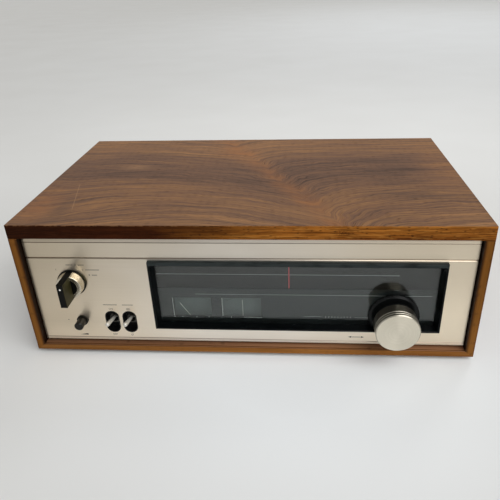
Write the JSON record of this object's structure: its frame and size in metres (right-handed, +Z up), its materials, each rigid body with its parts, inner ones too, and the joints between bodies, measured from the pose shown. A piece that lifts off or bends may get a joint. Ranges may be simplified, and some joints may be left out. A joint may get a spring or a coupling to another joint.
{
  "type": "fm tuner",
  "caption": "AM-FM radio tuner in a walnut cabinet, with brushed fascia, glazed dial window with meters, tuning knob, selector, level knob and toggle switches.",
  "frame": {"origin": "middle of the overall length and depth, knobs included, on the plane under the feet", "axes": "+X to the right along the front, +Y to the back, +Z up"},
  "size_m": [0.44, 0.2726, 0.148],
  "materials": {
    "walnut_top": "satin oiled walnut",
    "walnut_side": "satin oiled walnut",
    "batten_wood": "plain sawn softwood",
    "foot_rubber": "matte",
    "plated_steel": "zinc plated",
    "fascia_metal": "brushed, champagne anodised",
    "bezel_gloss": "gloss black",
    "escutcheon_black": "satin black",
    "smoked_glass": "clear, lightly smoked",
    "mask_black": "matte dark grey-green",
    "dial_scale": "matte dark grey-green",
    "lamp_glass": "clear",
    "pointer_red": "satin red",
    "carriage_plastic": "natural nylon",
    "cord_fibre": "braided cord",
    "drum_plastic": "natural nylon",
    "brass_parts": "machined",
    "knob_aluminium": "spun and anodised",
    "knob_black": "satin black",
    "flywheel_iron": "turned",
    "gang_aluminium": "bright",
    "meter_black": "matte black",
    "meter_face": "matte grey-green",
    "needle_paint": "matte",
    "switch_phenolic": "phenolic",
    "toggle_black": "satin black",
    "toggle_chrome": "polished",
    "chassis_steel": "zinc plated sheet",
    "rear_paint": "satin black paint",
    "board_phenolic": "phenolic board",
    "component_metal": "satin",
    "transformer_iron": "varnished laminations",
    "jack_nickel": "nickel plated",
    "rear_black": "satin black",
    "aerial_tube": "satin black"
  },
  "bodies": {
    "cabinet": {"cabinet_top": "walnut_top", "cabinet_left_side": "walnut_side", "cabinet_right_side": "walnut_side", "cabinet_bottom": "walnut_side", "cabinet_battens": "batten_wood", "feet": "foot_rubber", "fixing_screws": "plated_steel", "fascia": "fascia_metal", "fascia_pillars": "plated_steel", "window_bezel": "bezel_gloss", "knob_escutcheon": "escutcheon_black", "dial_glass": "smoked_glass", "dial_mask": "mask_black", "dial_backplate": "dial_scale", "dial_lamps": "lamp_glass", "pointer_rail": "plated_steel", "dial_cord": "cord_fibre", "shaft_bushes": "brass_parts", "gang_frame": "chassis_steel", "gang_stator": "gang_aluminium", "meter_cases": "meter_black", "meter_scales": "meter_face", "selector_switch": "switch_phenolic", "level_pot": "component_metal", "toggle_recesses": "toggle_black", "toggle_bodies": "switch_phenolic", "toggle_bushes": "toggle_chrome", "chassis": "chassis_steel", "front_subpanel": "chassis_steel", "rear_panel": "rear_paint", "main_board": "board_phenolic", "board_parts": "component_metal", "power_transformer": "transformer_iron", "signal_jacks": "jack_nickel", "terminal_block": "rear_black", "fuse_holder": "rear_black", "cord_grommet": "foot_rubber", "aerial_bracket": "plated_steel"},
    "tuning_knob": {"tuning_cap": "knob_aluminium", "tuning_hub": "knob_black", "tuning_shaft": "plated_steel", "flywheel": "flywheel_iron"},
    "drum": {"cord_drum": "drum_plastic", "drum_shaft": "brass_parts"},
    "rotor": {"gang_rotor": "gang_aluminium", "rotor_gear": "brass_parts"},
    "left_pulley": {"pulley_left": "drum_plastic"},
    "right_pulley": {"pulley_right": "drum_plastic"},
    "centre_pulley": {"pulley_centre": "drum_plastic"},
    "pointer": {"pointer_carriage": "carriage_plastic", "pointer_needle": "pointer_red"},
    "selector": {"selector_handle": "knob_black", "selector_collar": "knob_aluminium", "selector_shaft": "plated_steel"},
    "level": {"level_knob": "knob_black"},
    "left_toggle": {"left_lever": "toggle_chrome"},
    "right_toggle": {"right_lever": "toggle_chrome"},
    "signal_meter": {"signal_needle": "needle_paint"},
    "tuning_meter": {"tuning_needle": "needle_paint"},
    "aerial": {"aerial_rod": "aerial_tube"}
  },
  "joints": [
    {"name": "tuning_spin", "type": "hinge", "parent": "cabinet", "child": "tuning_knob", "pos_m": [0.141, -0.13375, 0.0458], "axis": [0, 1, 0], "range_deg": [-1604.28, 1260.51]},
    {"name": "drum_turn", "type": "hinge", "parent": "cabinet", "child": "drum", "pos_m": [0.078, -0.08825, 0.061], "axis": [0, 1, 0], "range_deg": [-201.03, 158.06]},
    {"name": "rotor_turn", "type": "hinge", "parent": "cabinet", "child": "rotor", "pos_m": [0.078, -0.07675, 0.037], "axis": [0, 1, 0], "range_deg": [-79.28, 100.77]},
    {"name": "left_pulley_turn", "type": "hinge", "parent": "cabinet", "child": "left_pulley", "pos_m": [-0.0947, -0.08825, 0.1135], "axis": [0, 1, 0], "range_deg": [-1283.92, 1008.91]},
    {"name": "right_pulley_turn", "type": "hinge", "parent": "cabinet", "child": "right_pulley", "pos_m": [0.1824, -0.08825, 0.1135], "axis": [0, 1, 0], "range_deg": [-1283.92, 1008.91]},
    {"name": "centre_pulley_turn", "type": "hinge", "parent": "cabinet", "child": "centre_pulley", "pos_m": [0.041, -0.08825, 0.1035], "axis": [0, 1, 0], "range_deg": [-1008.91, 1283.92]},
    {"name": "pointer_slide", "type": "slide", "parent": "cabinet", "child": "pointer", "axis": [1, 0, 0], "range_m": [-0.1122, 0.0882]},
    {"name": "selector_turn", "type": "hinge", "parent": "cabinet", "child": "selector", "pos_m": [-0.1699, -0.13625, 0.0838], "axis": [0, 1, 0], "range_deg": [-30, 30]},
    {"name": "level_turn", "type": "hinge", "parent": "cabinet", "child": "level", "pos_m": [-0.1678, -0.12275, 0.0387], "axis": [0, 1, 0], "range_deg": [-150, 150]},
    {"name": "left_toggle_tilt", "type": "hinge", "parent": "cabinet", "child": "left_toggle", "pos_m": [-0.137, -0.09875, 0.037], "axis": [1, 0, 0], "range_deg": [0, 29.4]},
    {"name": "right_toggle_tilt", "type": "hinge", "parent": "cabinet", "child": "right_toggle", "pos_m": [-0.1194, -0.09875, 0.037], "axis": [1, 0, 0], "range_deg": [0, 29.4]},
    {"name": "signal_needle_turn", "type": "hinge", "parent": "cabinet", "child": "signal_meter", "pos_m": [-0.0557, -0.09775, 0.0307], "axis": [0, 1, 0], "range_deg": [0, 66], "stiffness_Nm_per_rad": 0.0005},
    {"name": "tuning_needle_turn", "type": "hinge", "parent": "cabinet", "child": "tuning_meter", "pos_m": [-0.0065, -0.09775, 0.0307], "axis": [0, 1, 0], "range_deg": [-33, 33], "stiffness_Nm_per_rad": 0.0005},
    {"name": "aerial_swing", "type": "hinge", "parent": "cabinet", "child": "aerial", "pos_m": [0.168, 0.12525, 0.1081], "axis": [0, 0, -1], "range_deg": [0, 90]}
  ],
  "couplings": [
    {"joint": "drum_turn", "follows": "tuning_spin", "ratio": 0.125},
    {"joint": "rotor_turn", "follows": "tuning_spin", "ratio": -0.0625},
    {"joint": "left_pulley_turn", "follows": "tuning_spin", "ratio": 0.8},
    {"joint": "right_pulley_turn", "follows": "tuning_spin", "ratio": 0.8},
    {"joint": "centre_pulley_turn", "follows": "tuning_spin", "ratio": -0.8},
    {"joint": "pointer_slide", "follows": "tuning_spin", "m_per_rad": 0.004}
  ]
}
